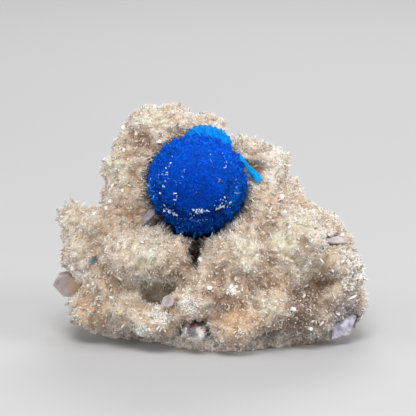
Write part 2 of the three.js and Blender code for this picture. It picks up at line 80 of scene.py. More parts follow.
# Where the crust's colour departs from its usual cream and tan: centre, reach, tint, share.
PATCHES = [
    ((-10.2, -12.0, 16.9), 3.8, GREENISH, 0.8),  # the three big cushions
    ((5.8, -12.0, 17.7), 3.8, GREENISH, 0.8),
    ((11.1, -10.0, 18.1), 3.4, GREENISH, 0.9),
    ((13.8, -7.0, 20.3), 3.4, GREENISH, 0.7),
    ((18.2, -6.0, 18.0), 2.8, WHITE, 0.4),  # right of them
    ((-9.4, -1.0, 36.0), 3.4, GREENISH, 0.9),  # crown
    ((-12.6, -1.0, 35.2), 2.0, WHITE, 0.6),
    ((-15.8, -1.0, 27.5), 2.8, GREENISH, 0.8),  # left shoulder
    ((-5.2, -8.0, 13.2), 2.2, VALLEY_SHADE, 0.7),  # painted shade between the cushions and under them
    ((-4.1, -9.4, 14.4), 1.4, VALLEY_SHADE, 0.7),
    ((-4.9, -10.0, 13.1), 1.8, VALLEY_SHADE, 0.5),
    ((0.3, -12.9, 9.6), 1.5, VALLEY_SHADE, 0.8),
    ((2.0, -13.1, 9.2), 1.6, VALLEY_SHADE, 0.8),
    ((4.0, -12.7, 8.9), 1.6, VALLEY_SHADE, 0.8),
    ((1.0, -12.0, 11.2), 2.6, VALLEY_SHADE, 0.4),
    ((-8.9, -9.4, 18.4), 2.2, VALLEY_SHADE, 0.35),
    ((-10.6, -9.0, 10.6), 3.2, CREAM, 0.8),  # painted light in the shaded hollow under the left one
    ((-7.8, -8.0, 10.4), 2.8, CREAM, 0.8),
    ((-7.8, -5.4, 9.8), 3.0, CREAM, 0.9),
    ((-0.6, -12.0, 2.2), 3.4, WHITE, 0.7),  # low in the middle
    ((-22.0, -3.0, 18.9), 3.0, GREENISH, 0.5),  # left end
    ((-21.4, -5.0, 14.8), 2.6, GREENISH, 0.5),
    ((9.6, -1.5, 28.9), 3.2, WHITE, 0.7),  # right shoulder
    ((-7.8, -12.5, 6.0), 1.9, WHITE, 0.9),  # low front
    ((-9.4, -12.5, 6.9), 1.9, WHITE, 0.8),
    ((-11.3, -10.0, 3.5), 1.8, WHITE, 0.9),
    ((-3.8, -12.5, 8.2), 2.3, WHITE, 0.7),
    ((3.9, -11.5, 3.2), 1.6, WHITE, 0.8),
    ((7.8, -12.0, 8.2), 2.6, GREENISH, 0.6),
    ((12.2, -9.6, 13.8), 2.4, CREAM, 0.6),  # under the right cushion
    ((15.1, -7.4, 13.3), 2.4, GREENISH, 0.7),
    ((-0.7, -12.3, 7.4), 1.6, CREAM, 0.7),  # over the cavity and left of it
    ((-7.0, -11.1, 4.5), 1.5, CREAM, 0.7),
    ((-19.0, -6.0, 4.8), 4.5, ORANGE, 0.45),  # iron stains
    ((-6.2, -12.5, 5.4), 4.5, ORANGE, 0.35),
    ((3.4, -12.5, 4.7), 5.0, ORANGE, 0.55),
    ((5.9, -1.2, 27.4), 1.6, RUSTY, 0.85),
    ((-7.8, -3.0, 31.5), 2.2, ORANGE, 0.3),
    ((-21.4, -4.5, 11.8), 2.4, WHITE, 0.9),  # over the plate at the left
    ((23.1, -3.0, 11.5), 2.0, WHITE, 1.0),  # right end
    ((21.6, -5.0, 8.6), 1.4, WHITE, 0.9),
    ((14.0, -8.6, 5.6), 4.2, UMBER_LILAC, 0.9),  # painted shade in hollows
    ((10.6, -8.6, 4.6), 2.6, UMBER_LILAC, 0.5),
    ((11.9, -10.6, 6.2), 1.5, UMBER_LILAC, 0.4),
    ((9.4, -11.5, 4.1), 2.0, UMBER_LILAC, 0.4),
    ((5.4, -5.0, 20.4), 2.6, BROWN, 0.3),
    ((8.2, -10.0, 15.5), 1.8, BROWN, 0.3),
    ((-19.6, -5.0, 8.6), 1.5, BROWN, 0.6),
    ((17.4, -8.0, 11.6), 2.4, BROWN, 0.35),
    ((21.0, -6.0, 5.4), 4.4, GREY_LILAC, 1.0),
    ((-2.9, -7.6, 16.4), 2.1, CREVICE_SHADE, 1.0),  # painted shade in the crevice under the ball
    ((-2.8, -4.2, 15.8), 2.8, CREVICE_SHADE, 1.0),
    ((-11.8, -1.0, 32.8), 2.6, BROWN, 0.6),  # painted shade under the crown
]


# ---- Numbers over many points at once ----


def unit(vectors):
    return vectors / np.maximum(np.linalg.norm(vectors, axis=-1, keepdims=True), 1e-12)


def smoothstep(low, high, values):
    t = np.clip((values - low) / (high - low), 0, 1)
    return t * t * (3 - 2 * t)


def mixed(a, b, share):
    share = np.asarray(share)[..., None]
    return a * (1 - share) + b * share


def noise(points, size, seed):
    """Smooth noise, about -1 to 1, whose features are about size across, at points in the same unit."""
    random = np.random.default_rng(seed)
    slopes = unit(random.normal(size=(256, 3)))
    order = random.permutation(256)
    cell = np.floor(points / size).astype(int)
    inside = points / size - cell
    fade = inside**3 * (inside * (inside * 6 - 15) + 10)
    total = np.zeros(len(points))
    for corner in np.ndindex(2, 2, 2):
        at = (cell + corner) & 255
        pick = order[(order[(order[at[:, 0]] + at[:, 1]) & 255] + at[:, 2]) & 255]
        share = np.prod(np.where(corner, fade, 1 - fade), axis=1)
        total += share * np.sum(slopes[pick] * (inside - corner), axis=1)
    return 1.6 * total


# ---- Meshes ----


def linked(name, mesh):
    piece = bpy.data.objects.new(name, mesh)
    bpy.context.scene.collection.objects.link(piece)
    return piece


def corners_of(mesh):
    """A mesh's vertices and its triangles."""
    points = np.empty(3 * len(mesh.vertices))
    mesh.vertices.foreach_get("co", points)
    mesh.calc_loop_triangles()
    triangles = np.empty(3 * len(mesh.loop_triangles), int)
    mesh.loop_triangles.foreach_get("vertices", triangles)
    return points.reshape(-1, 3) / MM, triangles.reshape(-1, 3)


def vertex_normals(points, triangles):
    a, b, c = (points[triangles[:, i]] for i in range(3))
    face = np.cross(b - a, c - a)
    normals = np.zeros_like(points)
    for i in range(3):
        np.add.at(normals, triangles[:, i], face)
    return unit(normals)


def remeshed(name, node, voxel, smoothing):
    """A new piece of even small faces in the shape of a CAD node."""
    piece = linked(name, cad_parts[node].data.copy())
    grid = piece.modifiers.new("grid", "REMESH")
    grid.mode = "VOXEL"
    grid.voxel_size = voxel * MM
    soft = piece.modifiers.new("soft", "SMOOTH")
    soft.factor = 0.5
    soft.iterations = smoothing
    shape = piece.evaluated_get(bpy.context.evaluated_depsgraph_get())
    mesh = bpy.data.meshes.new_from_object(shape)
    piece.modifiers.clear()
    piece.data = mesh
    return piece


def softened(piece, rounds):
    """Where a piece's vertices come to lie when its surface is smoothed that many times."""
    soft = piece.modifiers.new("soft", "SMOOTH")
    soft.factor = 0.7
    soft.iterations = rounds
    shape = piece.evaluated_get(bpy.context.evaluated_depsgraph_get())
    mesh = bpy.data.meshes.new_from_object(shape)
    piece.modifiers.clear()
    points, _ = corners_of(mesh)
    bpy.data.meshes.remove(mesh)
    return points


def move_vertices(piece, points):
    piece.data.vertices.foreach_set("co", (points * MM).ravel())
    piece.data.update()


def paint(mesh, name, colours):
    """Stores one linear colour per vertex."""
    layer = mesh.attributes.new(name, "FLOAT_COLOR", "POINT")
    rgba = np.ones((len(colours), 4), np.float32)
    rgba[:, :3] = colours
    layer.data.foreach_set("color", rgba.ravel())


def smooth_faces(mesh, smooth=True):
    mesh.polygons.foreach_set("use_smooth", np.full(len(mesh.polygons), smooth))
    mesh.update()


# A crystal form: its vertices as shares of half width, half thickness and length, and its faces.
CHISEL = (
    [(-1, -1, 0), (1, -1, 0), (1, 1, 0), (-1, 1, 0), (-0.8, 0, 1), (0.8, 0, 1)],
    [(0, 3, 2, 1), (0, 1, 5, 4), (2, 3, 4, 5), (1, 2, 5), (3, 0, 4)],
)
NEEDLE = (
    [(-1, -0.8, 0), (1, -0.8, 0), (0, 1, 0), (0, 0, 1)],
    [(0, 2, 1), (0, 1, 3), (1, 2, 3), (2, 0, 3)],
)
BLADE = (
    [
        (-0.7, -1, 0),
        (0.7, -1, 0),
        (1, -1, 0.78),
        (0, -1, 1),
        (-1, -1, 0.78),
        (-0.7, 1, 0),
        (0.7, 1, 0),
        (1, 1, 0.78),
        (0, 1, 1),
        (-1, 1, 0.78),
    ],
    [
        (0, 1, 2, 3, 4),
        (9, 8, 7, 6, 5),
        (1, 0, 5, 6),
        (2, 1, 6, 7),
        (3, 2, 7, 8),
        (4, 3, 8, 9),
        (0, 4, 9, 5),
    ],
)


def crystals(name, form, roots, along, sizes, roll, root_tint, tip_tint):
    """One mesh of closed crystals: each stands at its root, along its direction, of its own size.

    A size is a width, a thickness and a length. roll is an angle about the direction, or the direction
    that a broad face looks in.
    """
    shares, faces = np.array(form[0], float), form[1]
    count, corners = len(roots), len(shares)
    along = unit(along)
    if roll.ndim == 2:
        wide = unit(np.cross(roll, along))
    else:
        side = unit(np.cross(along, np.where(np.abs(along[:, 2:]) > 0.9, [[1.0, 0, 0]], [[0, 0, 1.0]])))
        wide = side * np.cos(roll)[:, None] + np.cross(along, side) * np.sin(roll)[:, None]
    thick = np.cross(along, wide)
    points = (
        roots[:, None, :]
        + wide[:, None, :] * (shares[None, :, 0:1] * sizes[:, None, 0:1] / 2)
        + thick[:, None, :] * (shares[None, :, 1:2] * sizes[:, None, 1:2] / 2)
        + along[:, None, :] * (shares[None, :, 2:3] * sizes[:, None, 2:3])
    )
    loops = np.concatenate([np.array(face) for face in faces])
    lengths = np.array([len(face) for face in faces])
    steps = np.arange(count)[:, None] * corners
    mesh = bpy.data.meshes.new(name)
    mesh.vertices.add(count * corners)
    mesh.vertices.foreach_set("co", (points * MM).ravel())
    mesh.loops.add(count * len(loops))
    mesh.loops.foreach_set("vertex_index", (loops[None, :] + steps).ravel())
    mesh.polygons.add(count * len(faces))
    totals = np.tile(lengths, count)
    mesh.polygons.foreach_set("loop_start", np.cumsum(totals) - totals)
    mesh.polygons.foreach_set("loop_total", totals)
    mesh.update(calc_edges=True)
    high = np.clip(shares[:, 2], 0, 1)[None, :, None]
    tint = root_tint[:, None, :] * (1 - high) + tip_tint[:, None, :] * high
    paint(mesh, "tint", tint.reshape(-1, 3))
    return linked(name, mesh)


def spread(points, triangles, weights, count, random):
    """count places over a surface, denser where its vertices weigh more: (triangles, shares)."""
    a, b, c = (points[triangles[:, i]] for i in range(3))
    area = np.linalg.norm(np.cross(b - a, c - a), axis=1) * weights[triangles].mean(axis=1)
    reach = np.cumsum(area) / area.sum()
    pick = np.searchsorted(reach, (np.arange(count) + random.random(count)) / count)
    pick = np.minimum(pick, len(triangles) - 1)
    u, v = random.random((2, count))
    flip = u + v > 1
    u, v = np.where(flip, 1 - u, u), np.where(flip, 1 - v, v)
    return triangles[pick], np.stack([1 - u - v, u, v], axis=1)


def taken(values, corners, shares):
    """Vertex values at places that spread() found."""
    if values.ndim == 1:
        return np.sum(values[corners] * shares, axis=1)
    return np.sum(values[corners] * shares[:, :, None], axis=1)


def any_directions(count, random):
    return unit(random.normal(size=(count, 3)))


def mirroring(points):
    """The directions in which a face must look to throw the key light into the display view."""
    return unit(unit(np.array(KEY_AT) / MM - points) + unit(EYE - points))


def gaps_to(tree, points, reach):
    """The distance from each point to the surfaces, at most reach; negative behind them."""
    gaps = np.full(len(points), float(reach))
    for i, point in enumerate(points):
        at, normal, _, distance = tree.find_nearest(point, reach)
        if at is not None:
            gaps[i] = math.copysign(distance, (Vector(point) - at).dot(normal))
    return gaps


def tree_of_meshes(*meshes):
    """One search tree over several meshes."""
    points, faces, start = [], [], 0
    for mesh in meshes:
        corners, triangles = corners_of(mesh)
        points.append(corners)
        faces.append(triangles + start)
        start += len(corners)
    return BVHTree.FromPolygons(np.concatenate(points).tolist(), np.concatenate(faces).tolist())


def tree_of_nodes(*nodes):
    return tree_of_meshes(*(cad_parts[node].data for node in nodes))


def seen(tree, places):
    """Where the display view of some places first meets a surface: (points, normals, which do)."""
    points, normals, hit = [], [], []
    for across, up in places:
        through = AIM + VIEW_RIGHT * across + VIEW_UP * up - EYE
        at, normal, _, _ = tree.ray_cast(Vector(EYE), Vector(through).normalized())
        hit.append(at is not None)
        if at is not None:
            points.append(at)
            normals.append(normal)
    return np.array(points).reshape(-1, 3), np.array(normals).reshape(-1, 3), np.array(hit)


# ---- Materials ----


def material(name, build):
    made = bpy.data.materials.new(name)
    made.use_nodes = True
    tree = made.node_tree
    build(tree, tree.nodes["Principled BSDF"])
    return made


def tinted(tree, shader, fine, coarse, contrast):
    """The mesh's tint, made lighter and darker by two sizes of noise."""
    link = tree.links.new
    tint = tree.nodes.new("ShaderNodeAttribute")
    tint.attribute_name = "tint"
    where = tree.nodes.new("ShaderNodeTexCoord")
    value = tint.outputs["Color"]
    for size, amount in ((fine, contrast), (coarse, 0.6 * contrast)):
        cloud = tree.nodes.new("ShaderNodeTexNoise")
        cloud.inputs["Scale"].default_value = 1 / (size * MM)
        cloud.inputs["Detail"].default_value = 3
        link(where.outputs["Object"], cloud.inputs["Vector"])
        level = tree.nodes.new("ShaderNodeMapRange")
        level.inputs["From Min"].default_value = 0.3
        level.inputs["From Max"].default_value = 0.7
        level.inputs["To Min"].default_value = 1 - amount
        level.inputs["To Max"].default_value = 1 + amount
        link(cloud.outputs["Fac"], level.inputs["Value"])
        scale = tree.nodes.new("ShaderNodeVectorMath")
        scale.operation = "SCALE"
        link(value, scale.inputs[0])
        link(level.outputs["Result"], scale.inputs["Scale"])
        value = scale.outputs["Vector"]
    link(value, shader.inputs["Base Color"])
    return where


def bumped(tree, shader, where, size, strength, distance):
    """A grain in the surface, of that size and depth."""
    link = tree.links.new
    grain = tree.nodes.new("ShaderNodeTexNoise")
    grain.inputs["Scale"].default_value = 1 / (size * MM)
    grain.inputs["Detail"].default_value = 4
    link(where.outputs["Object"], grain.inputs["Vector"])
    bump = tree.nodes.new("ShaderNodeBump")
    bump.inputs["Strength"].default_value = strength
    bump.inputs["Distance"].default_value = distance * MM
    link(grain.outputs["Fac"], bump.inputs["Height"])
    link(bump.outputs["Normal"], shader.inputs["Normal"])


def stilbite_bed(tree, shader):
    where = tinted(tree, shader, 0.4, 2.5, 0.18)
    bumped(tree, shader, where, 0.3, 0.6, 0.15)
    shader.inputs["Roughness"].default_value = 0.7
    shader.inputs["Specular IOR Level"].default_value = 0.3
    shader.inputs["Subsurface Weight"].default_value = 0.3
    shader.inputs["Subsurface Radius"].default_value = (1.0, 0.8, 0.6)
    shader.inputs["Subsurface Scale"].default_value = 1.0 * MM


def stilbite(tree, shader):
    tinted(tree, shader, 0.8, 3.0, 0.10)
    shader.inputs["Roughness"].default_value = 0.3
    shader.inputs["Subsurface Weight"].default_value = 0.75
    shader.inputs["Subsurface Radius"].default_value = (1.0, 0.8, 0.6)
    shader.inputs["Subsurface Scale"].default_value = 1.0 * MM


def glossy_stilbite(tree, shader):
    tinted(tree, shader, 0.8, 3.0, 0.04)
    shader.inputs["Roughness"].default_value = 0.2
    shader.inputs["Subsurface Weight"].default_value = 0.5
    shader.inputs["Subsurface Radius"].default_value = (1.0, 0.9, 0.8)
    shader.inputs["Subsurface Scale"].default_value = 0.6 * MM


def clear_stilbite(tree, shader):
    tinted(tree, shader, 1.0, 3.0, 0.05)
    shader.inputs["Roughness"].default_value = 0.08
    shader.inputs["IOR"].default_value = 1.5
    shader.inputs["Transmission Weight"].default_value = 0.5


def cavansite(tree, shader):
    where = tinted(tree, shader, 0.5, 2.5, 0.22)
    bumped(tree, shader, where, 0.25, 0.5, 0.1)
    shader.inputs["Roughness"].default_value = 0.4
    shader.inputs["Specular IOR Level"].default_value = 0.05


def azure_blades(tree, shader):
    tinted(tree, shader, 0.4, 2.0, 0.12)
    shader.inputs["Roughness"].default_value = 0.35
    shader.inputs["Specular IOR Level"].default_value = 0.1


def sparkle(tree, shader):
    tinted(tree, shader, 1.0, 2.0, 0.02)
    shader.inputs["Roughness"].default_value = 0.2


def cloudy(low, high, cloud, grain, strength, depth):
    """The look of a plate with clouds between two colours and a grain in its surface."""

    def build(tree, shader):
        where = tree.nodes.new("ShaderNodeTexCoord")
        bumped(tree, shader, where, grain, strength, depth)
        clouds = tree.nodes.new("ShaderNodeTexNoise")
        clouds.inputs["Scale"].default_value = 1 / (cloud * MM)
        clouds.inputs["Detail"].default_value = 3
        ramp = tree.nodes.new("ShaderNodeValToRGB")
        for element, colour, position in zip(ramp.color_ramp.elements, (low, high), (0.35, 0.65)):
            element.color = (*colour, 1)
            element.position = position
        tree.links.new(where.outputs["Object"], clouds.inputs["Vector"])
        tree.links.new(clouds.outputs["Fac"], ramp.inputs["Fac"])
        tree.links.new(ramp.outputs["Color"], shader.inputs["Base Color"])
        shader.inputs["Roughness"].default_value = 0.3
        shader.inputs["Subsurface Weight"].default_value = 0.45
        shader.inputs["Subsurface Radius"].default_value = (1.0, 0.9, 0.8)
        shader.inputs["Subsurface Scale"].default_value = 0.8 * MM

    return build


lilac_plate = cloudy(srgb(158, 145, 147), srgb(194, 182, 183), 1.5, 1.2, 0.3, 0.2)


def left_plate(tree, shader):
    """Lilac-grey at its free end, stained tan where it goes into the crust."""
    lilac_plate(tree, shader)
    link = tree.links.new
    where = tree.nodes.new("ShaderNodeTexCoord")
    axes = tree.nodes.new("ShaderNodeSeparateXYZ")
    level = tree.nodes.new("ShaderNodeMapRange")
    level.inputs["From Min"].default_value = -23.6 * MM
    level.inputs["From Max"].default_value = -21.0 * MM
    blend = tree.nodes.new("ShaderNodeMix")
    blend.data_type = "RGBA"
    blend.inputs["B"].default_value = (*srgb(190, 156, 122), 1)
    link(where.outputs["Object"], axes.inputs["Vector"])
    link(axes.outputs["X"], level.inputs["Value"])
    link(level.outputs["Result"], blend.inputs["Factor"])
    link(shader.inputs["Base Color"].links[0].from_socket, blend.inputs["A"])
    link(blend.outputs["Result"], shader.inputs["Base Color"])


def rock(tree, shader):
    where = tinted(tree, shader, 0.35, 2.0, 0.35)
    bumped(tree, shader, where, 0.4, 0.8, 0.25)
    shader.inputs["Roughness"].default_value = 0.8
    shader.inputs["Specular IOR Level"].default_value = 0.3


BED = material("stilbite_bed", stilbite_bed)
STILBITE = material("stilbite", stilbite)
GLOSSY = material("stilbite_glossy", glossy_stilbite)
CLEAR = material("stilbite_clear", clear_stilbite)
CAVANSITE = material("cavansite", cavansite)
AZURE_BLADES = material("cavansite_pale", azure_blades)
SPARKLE = material("cavansite_sparkle", sparkle)
white_plate = cloudy(srgb(244, 240, 236), srgb(255, 253, 250), 0.8, 0.5, 0.8, 0.3)
bluish_plate = cloudy(srgb(140, 136, 158), srgb(214, 210, 220), 1.1, 0.7, 0.9, 0.4)
# The plate by the ball: more lavender than the others, and darker as painted shade.
lavender_plate = cloudy(srgb(138, 128, 142), srgb(176, 166, 178), 0.9, 0.8, 0.5, 0.2)
PLATE = material("stilbite_plate", lilac_plate)
PLATE_LEFT = material("stilbite_plate_stained", left_plate)
PLATE_WHITE = material("stilbite_plate_white", white_plate)
PLATE_BLUISH = material("stilbite_plate_bluish", bluish_plate)
PLATE_LAVENDER = material("stilbite_plate_lavender", lavender_plate)
ROCK = material("basalt", rock)


def dressed(piece, finish, slot, *nodes):
    piece.data.materials.clear()
    piece.data.materials.append(finish)
    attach(piece, "root")
    if nodes:
        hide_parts(*nodes)
    return piece


# ---- The stilbite crust ----


def crust_tints(points, normals, hollow, valley, to_ball):
    """Painted shade and light on the crust's cream: tan on its flanks, brown in hollows, darker lilac
    where it faces down, darker in the broad valleys and lighter on the broad crowns; warm near the ball,
    a stain that is also painted light.
    """
    swell = hollow + 0.25 * noise(points, 1.8, 5)
    # Painted shade: tan toward the flanks and brown in the hollows.
    tint = mixed(CREAM, TAN, smoothstep(-0.9, 0.35, swell))
    tint = mixed(tint, BROWN, 0.3 * smoothstep(0.4, 1.6, swell))
    # Painted shade: darker lilac where the crust faces down.
    under = smoothstep(0.0, 0.8, -normals[:, 2] + 0.25 * noise(points, 3.0, 6))
    tint = mixed(tint, LILAC * 0.8, 0.4 * under)
    # Painted shade in the broad valleys, and painted light on the broad crowns.
    tint = mixed(tint, VALLEY_SHADE, 0.7 * smoothstep(0.1, 1.7, valley))
    tint = mixed(tint, CREAM_TIP, 0.15 * smoothstep(-0.3, -1.5, valley))
    tint = mixed(tint, ORANGE, 0.18 * smoothstep(0.15, 0.8, noise(points, 6.0, 8)))
    # A warm stain near the ball, which is also painted light over the ball's shade.
    tint = mixed(tint, PEACH, 0.6 * smoothstep(BALL_STAIN_AND_LIGHT, 0.5, to_ball))
    blur = points + 0.9 * np.stack([noise(points, 1.6, seed) for seed in (15, 16, 17)], axis=1)
    for at, reach, colour, share in PATCHES:
        gap = np.linalg.norm(blur - (np.array(at) + SHIFT), axis=1) / reach
        tint = mixed(tint, colour, share * smoothstep(1.25, 0.35, gap))
    return tint


SINGLE_CRYSTALS = [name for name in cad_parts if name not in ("stilbite_crust", "basalt_matrix")]
PLATES = [name for name in SINGLE_CRYSTALS if name.startswith("stilbite")]
LARGE_NEIGHBOURS = [name for name in SINGLE_CRYSTALS if "fleck" not in name]
CREAM_TIP = srgb(244, 236, 222)
IN_CREASES = np.array([0.62, 0.50, 0.40])  # painted shade: what is left of the tint between two clumps of crystals
PEACH = srgb(244, 212, 176)
BALL_STAIN_AND_LIGHT = 2.4  # the crust is stained warm, and painted lighter over the ball's shade, this near to the ball
# The ball's rosettes: centre and radius.
ROSETTES = [
    (np.array([-2.7, -5.2, 26.2]) + SHIFT, 7.95),
    (np.array([-2.9, -4.6, 21.8]) + SHIFT, 5.3),
    (np.array([3.3, -5.6, 25.6]) + SHIFT, 2.2),
]
# The bed that the crystals stand on: its faces, and how far it swells, is rough and is drawn in.
BED_FACE = 0.36
BED_SWELL, BED_SWELL_SIZE = 0.75, 2.0
BED_ROUGH, BED_ROUGH_SIZE = 0.18, 0.8
BED_DRAWN_IN = 0.46
LOWEST = 0.2  # the bed and both ends of each crystal stay this far above the floor
# Rounds of smoothing that leave the lobes and take out all but the broad form.
LOBES_LEFT, BROAD_FORM_LEFT = 60, 500

# Crystals: how they vary, the room that they leave, and what is left of a tip's tint in dark places.
SIZE_SPREAD = 0.25
FORM_SPREAD = 0.12
MIRROR_SPREAD = 0.35
NEIGHBOUR_GAP = 0.12
DARKEST_TIP, DARKEST_GLINT = 0.5, 0.85

# Crystals along a neighbour of the crust: size, length under the surface, and how near they stand.
FRINGE_CRYSTAL = (0.24, 0.15, 0.68)
FRINGE_SUNK = 0.3
FRINGE_REACH = 1.9  # of the ball
HEM_REACH = 1.5  # of the rock
COLLAR_REACH = 1.0  # of the large plate at the low right
HEM_TOP = 5.4  # higher up on the display side, the rock is hidden
END_BLADES_FROM = 20.0  # to the right of the middle


class Ground:
    """A surface that crystals stand on: what each vertex has, and the pieces that they keep clear of."""

    def __init__(self, mesh, outward, tint, weights, others, random):
        self.points, self.triangles = corners_of(mesh)
        self.normals = vertex_normals(self.points, self.triangles)
        self.outward, self.tint, self.weights = outward, tint, weights
        self.others, self.random = others, random

    def cover(
        self, name, form, count, size, stand, tilt, differ, finish, tip_tint, tip_share, glinting=0
    ):
        """Crystals of one kind all over it, standing out of it by stand; a share of them glint."""
        random = self.random
        corners, shares = spread(self.points, self.triangles, self.weights, count, random)
        root = taken(self.points, corners, shares)
        normal = unit(taken(self.normals, corners, shares))
        radial = unit(taken(self.outward, corners, shares))
        along = unit(0.5 * normal + 0.5 * radial + tilt * any_directions(count, random))
        glint = random.random(count) < glinting
        mirror = unit(mirroring(root) + MIRROR_SPREAD * any_directions(count, random))
        flat = unit(along - mirror * np.sum(along * mirror, axis=1)[:, None])
        along[glint] = flat[glint]
        low = np.sum(along * normal, axis=1) < 0.2
        along[low] = unit(along[low] + 0.6 * normal[low])
        grown = np.exp(random.normal(0, SIZE_SPREAD, (count, 1)))
        sizes = np.array(size) * grown * np.exp(random.normal(0, FORM_SPREAD, (count, 3)))
        shade = np.exp(random.normal(0, differ, (count, 1)))
        base = np.clip(taken(self.tint, corners, shares) * shade, 0, 0.95)
        darkest = DARKEST_GLINT if glinting else DARKEST_TIP
        dim = np.clip(base.mean(axis=1) / CREAM.mean(), darkest, 1)[:, None]
        tip = np.clip(mixed(base, tip_tint * dim, tip_share), 0, 1)
        sunk = np.maximum(sizes[:, 2:] - stand * grown, 0)
        turn = any_directions(count, random)
        turn[glint] = mirror[glint]
        foot = root - along * sunk
        ends = foot + along * sizes[:, 2:]
        clear = gaps_to(self.others, ends, 1.0) > NEIGHBOUR_GAP
        clear &= np.minimum(foot, ends)[:, 2] > LOWEST
        parts = (array[clear] for array in (foot, along, sizes, turn, base, tip))
        return dressed(crystals(name, form, *parts), finish, "stilbite")


def make_crust():
    random = np.random.default_rng(7)
    bed = remeshed("stilbite_bed", "stilbite_crust", BED_FACE, 2)
    points, triangles = corners_of(bed.data)
    normals = vertex_normals(points, triangles)
    smooth = softened(bed, LOBES_LEFT)
    hollow = np.sum((smooth - points) * normals, axis=1)
    outward = vertex_normals(smooth, triangles)
    valley = np.sum((softened(bed, BROAD_FORM_LEFT) - points) * outward, axis=1)
    valley /= valley.std()
    billow = np.abs(noise(points, BED_SWELL_SIZE, 1))
    grain = noise(points, BED_ROUGH_SIZE, 2)
    points = points + normals * (BED_SWELL * billow + BED_ROUGH * grain - BED_DRAWN_IN)[:, None]
    points[:, 2] = np.maximum(points[:, 2], LOWEST)
    move_vertices(bed, points)
    smooth_faces(bed.data)
    to_ball = gaps_to(tree_of_nodes("cavansite_ball"), points, BALL_STAIN_AND_LIGHT)
    tint = crust_tints(points, outward, hollow, valley, to_ball)
    # Painted shade in the creases between clumps of crystals.
    crease = smoothstep(0.28, 0.02, billow + 0.1 * noise(points, 1.0, 18))
    tint = mixed(tint, tint * IN_CREASES, 0.65 * crease)
    cloud = 0.13 * noise(points, 3.2, 21) + 0.10 * noise(points, 1.5, 19)
    cloud += 0.06 * noise(points, 0.7, 20)
    tint = tint * np.exp(cloud[:, None] * [0.8, 1.0, 1.25])
    tint = np.clip(tint, 0, 0.95)
    paint(bed.data, "tint", mixed(tint, BROWN, 0.12))
    dressed(bed, BED, "stilbite", "stilbite_crust")
    others = tree_of_nodes(*LARGE_NEIGHBOURS)
    weights = 1.0 - 0.2 * smoothstep(0.6, 2.0, hollow)
    ground = Ground(bed.data, outward, tint, weights, others, random)
    # Form, how many, size, stand, tilt, how much they differ, finish, tip tint, its share, glinting.
    ground.cover(
        "stilbite_fuzz_a", NEEDLE, 32000, (0.20, 0.15, 0.55), 0.22, 0.6, 0.17, STILBITE, CREAM_TIP, 0.3
    )
    ground.cover(
        "stilbite_fuzz_b", NEEDLE, 34000, (0.19, 0.15, 0.62), 0.32, 0.5, 0.24, STILBITE, CREAM_TIP, 0.35
    )
    ground.cover(
        "stilbite_chisels", CHISEL, 13500, (0.26, 0.10, 0.65), 0.32, 0.8, 0.24, STILBITE, CREAM_TIP, 0.4
    )
    # White crystals as glints: their white is painted highlight, and most are turned to throw the key
    # light into the display view.
    ground.cover(
        "stilbite_glints", BLADE, 6400, (0.19, 0.08, 0.68), 0.45, 1.4, 0.05, GLOSSY, WHITE, 1.0, 0.7
    )
    edge = np.exp(-((outward @ VIEW_BACK / 0.3) ** 2))
    ground.weights = smoothstep(-0.2, -1.0, hollow) * (0.1 + edge) + 0.001
    ground.cover(
        "stilbite_clear_blades", BLADE, 160, (0.36, 0.14, 1.1), 0.6, 0.6, 0.05, CLEAR, WHITE, 0.9
    )
    right_end = smoothstep(END_BLADES_FROM, END_BLADES_FROM + 3.0, points[:, 0])
    right_end *= smoothstep(3.0, 5.0, points[:, 2])
    ground.weights = edge * right_end + 1e-5
    ground.cover(
        "stilbite_end_blades", BLADE, 340, (0.26, 0.11, 1.1), 0.6, 0.6, 0.08, GLOSSY, WHITE, 0.5
    )
    normals = vertex_normals(points, triangles)
    surface = points, triangles, normals, tint
    everywhere = np.ones(len(points))
    make_fringe("stilbite_fringe", surface, "cavansite_ball", FRINGE_REACH, everywhere, 6000, 0.3)
    hem = (points[:, 1] < 1.0) & (points[:, 2] < HEM_TOP) & (points[:, 2] > 0.6)
    make_fringe("stilbite_hem", surface, "basalt_matrix", HEM_REACH, hem.astype(float), 3500)
    make_fringe("stilbite_collar", surface, "stilbite_plate_low_right", COLLAR_REACH, everywhere, 800)
    return bed


def make_fringe(name, surface, node, reach, weights, count, stretch=0.0):
    """Crystals that reach from the crust toward a piece that it grew around; none in front of the ball.

    They get longer by a share, stretch, for each mm of the gap that they stand in.
    """
    random = np.random.default_rng(29)
    points, triangles, normals, tint = surface
    neighbour = tree_of_nodes(node)
    gap = gaps_to(neighbour, points, reach)
    weights = weights * smoothstep(reach, 0.6 * reach, gap) * (gap > 0.2) + 1e-9
    corners, shares = spread(points, triangles, weights, count, random)
    root = taken(points, corners, shares)
    across = np.array([neighbour.find_nearest(point)[0] for point in root]) - root
    toward = unit(across)
    normal = unit(taken(normals, corners, shares))
    along = unit(0.6 * normal + 0.6 * toward + 0.4 * any_directions(count, random))
    sizes = np.array(FRINGE_CRYSTAL) * np.exp(random.normal(0, SIZE_SPREAD, (count, 3)))
    sizes[:, 2] *= 1 + stretch * np.linalg.norm(across, axis=1)
    foot = root - along * FRINGE_SUNK
    base = mixed(taken(tint, corners, shares), TAN, 0.3)
    tip = mixed(base, CREAM_TIP, 0.25)
    ends = foot + along * sizes[:, 2:]
    in_front = [neighbour.ray_cast(Vector(end), Vector(-VIEW_BACK))[0] is not None for end in ends]
    clear = (gaps_to(neighbour, ends, 1.0) > 0.1) & (np.minimum(foot, ends)[:, 2] > LOWEST)
    if node == "cavansite_ball":
        clear &= ~np.array(in_front)
    turn = random.uniform(0, 2 * math.pi, count)
    parts = (array[clear] for array in (foot, along, sizes, turn, base, tip))
    dressed(crystals(name, CHISEL, *parts), STILBITE, "stilbite")


CRUST_BED = make_crust()

